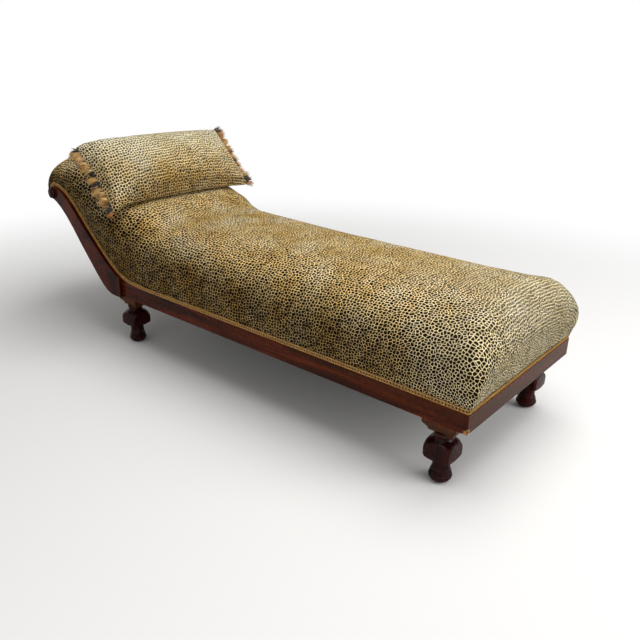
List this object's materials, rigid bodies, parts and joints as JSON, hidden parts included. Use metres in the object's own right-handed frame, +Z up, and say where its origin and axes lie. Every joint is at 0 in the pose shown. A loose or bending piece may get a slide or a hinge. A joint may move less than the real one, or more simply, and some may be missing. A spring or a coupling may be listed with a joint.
{
  "type": "chaise longue",
  "caption": "Long upholstered couch with one open scroll head, rounded foot end, turned legs and a loose fringed pillow on the head.",
  "frame": {"origin": "on the floor, under the middle of the whole couch", "axes": "+X from the raised head to the foot end, +Y towards the far side, -Y the side nearest the camera, +Z up"},
  "size_m": [1.9197, 0.716, 0.7308],
  "materials": {
    "polished_mahogany": "gloss french polish",
    "turned_mahogany": "gloss dark stain",
    "beech": "raw, unpolished",
    "screw_steel": "satin",
    "jute_webbing": "coarse weave",
    "spring_wire": "coppered wire",
    "lashing_cord": "laid cord",
    "hessian": "open weave",
    "hair_stuffing": "matted hair under calico",
    "printed_velvet": "short pile velvet with a spotted animal print",
    "black_cambric": "matt",
    "gold_gimp": "woven braid with two cords",
    "pillow_filling": "soft filling in a plain case",
    "tasselled_fringe": "thick cut fringe in gold and black tufts"
  },
  "bodies": {
    "couch": {"side_rail_near": "polished_mahogany", "side_rail_far": "polished_mahogany", "foot_rail": "polished_mahogany", "head_cross_rail": "beech", "head_upright_near": "polished_mahogany", "head_upright_far": "polished_mahogany", "head_top_rail": "beech", "roundel_near": "turned_mahogany", "roundel_far": "turned_mahogany", "corner_block_foot_near": "beech", "corner_block_foot_far": "beech", "corner_block_head_near": "beech", "corner_block_head_far": "beech", "corner_block_screws": "screw_steel", "plinth_foot_near": "turned_mahogany", "plinth_foot_far": "turned_mahogany", "plinth_head_near": "turned_mahogany", "plinth_head_far": "turned_mahogany", "leg_foot_near": "turned_mahogany", "leg_foot_far": "turned_mahogany", "leg_head_near": "turned_mahogany", "leg_head_far": "turned_mahogany", "webbing_across": "jute_webbing", "webbing_along": "jute_webbing", "head_webbing": "jute_webbing", "seat_springs": "spring_wire", "spring_lashing": "lashing_cord", "spring_hessian": "hessian", "stuffing": "hair_stuffing", "velvet_cover": "printed_velvet", "outside_back": "printed_velvet", "dust_cover": "black_cambric", "gimp_near": "gold_gimp", "gimp_far": "gold_gimp", "gimp_foot": "gold_gimp"},
    "pillow": {"pillow_pad": "pillow_filling", "pillow_cover_top": "printed_velvet", "pillow_cover_under": "printed_velvet", "pillow_fringe_near": "tasselled_fringe", "pillow_fringe_far": "tasselled_fringe"}
  },
  "joints": [
    {"name": "pillow_lift", "type": "slide", "parent": "couch", "child": "pillow", "axis": [0.7193, 0, 0.6947], "range_m": [0, 0.3]}
  ]
}
